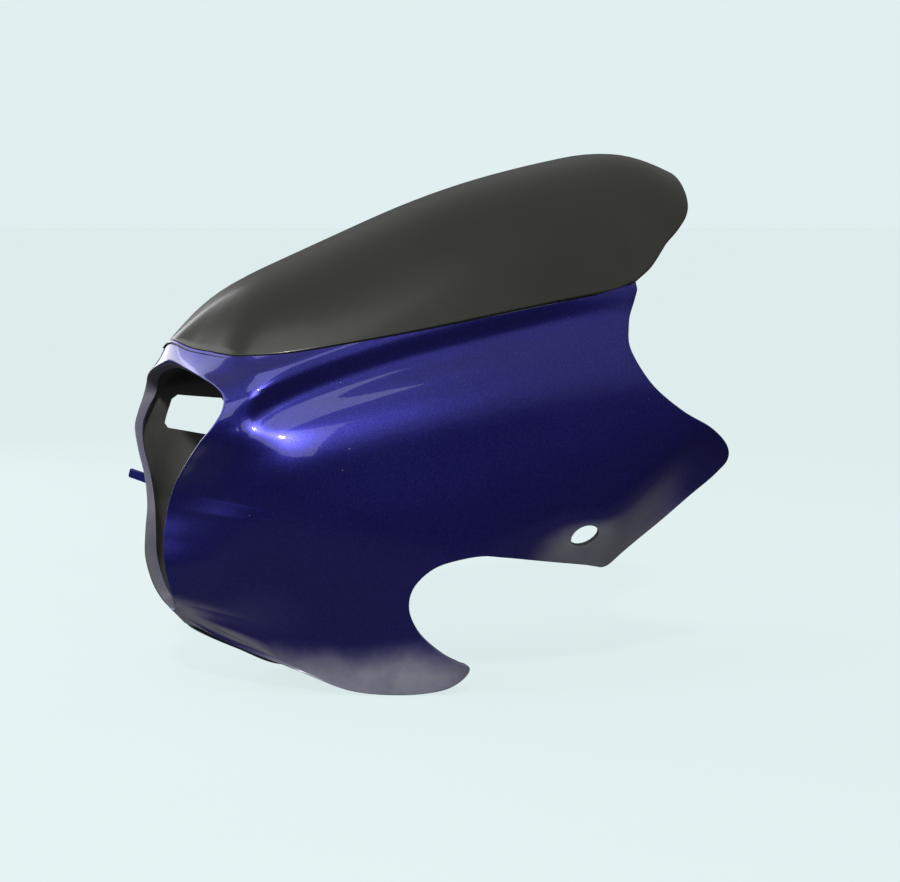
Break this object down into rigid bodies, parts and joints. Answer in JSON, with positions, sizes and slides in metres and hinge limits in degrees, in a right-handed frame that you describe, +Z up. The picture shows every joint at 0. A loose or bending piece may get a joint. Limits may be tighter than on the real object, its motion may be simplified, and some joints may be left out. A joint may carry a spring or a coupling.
{
  "type": "motorcycle headlight visor",
  "caption": "Painted headlight visor moulding with a headlamp opening, swept side wings, a chin and a smoked windscreen.",
  "frame": {"origin": "on the plane of symmetry, midway along the visor, at the height where the headlamp opening starts to narrow", "axes": "+X forward, +Y to the left side of the vehicle, +Z up"},
  "size_m": [0.3741, 0.276, 0.3656],
  "materials": {
    "blue_paint": "high-gloss blue metallic lacquer on moulded plastic",
    "smoked_plastic": "satin dark smoke acrylic",
    "zinc_steel": "zinc plated",
    "black_rubber": "plain"
  },
  "bodies": {
    "root": {"visor_shell": "blue_paint", "windscreen": "smoked_plastic", "windscreen_screws": "zinc_steel", "windscreen_washers": "black_rubber"}
  },
  "joints": []
}
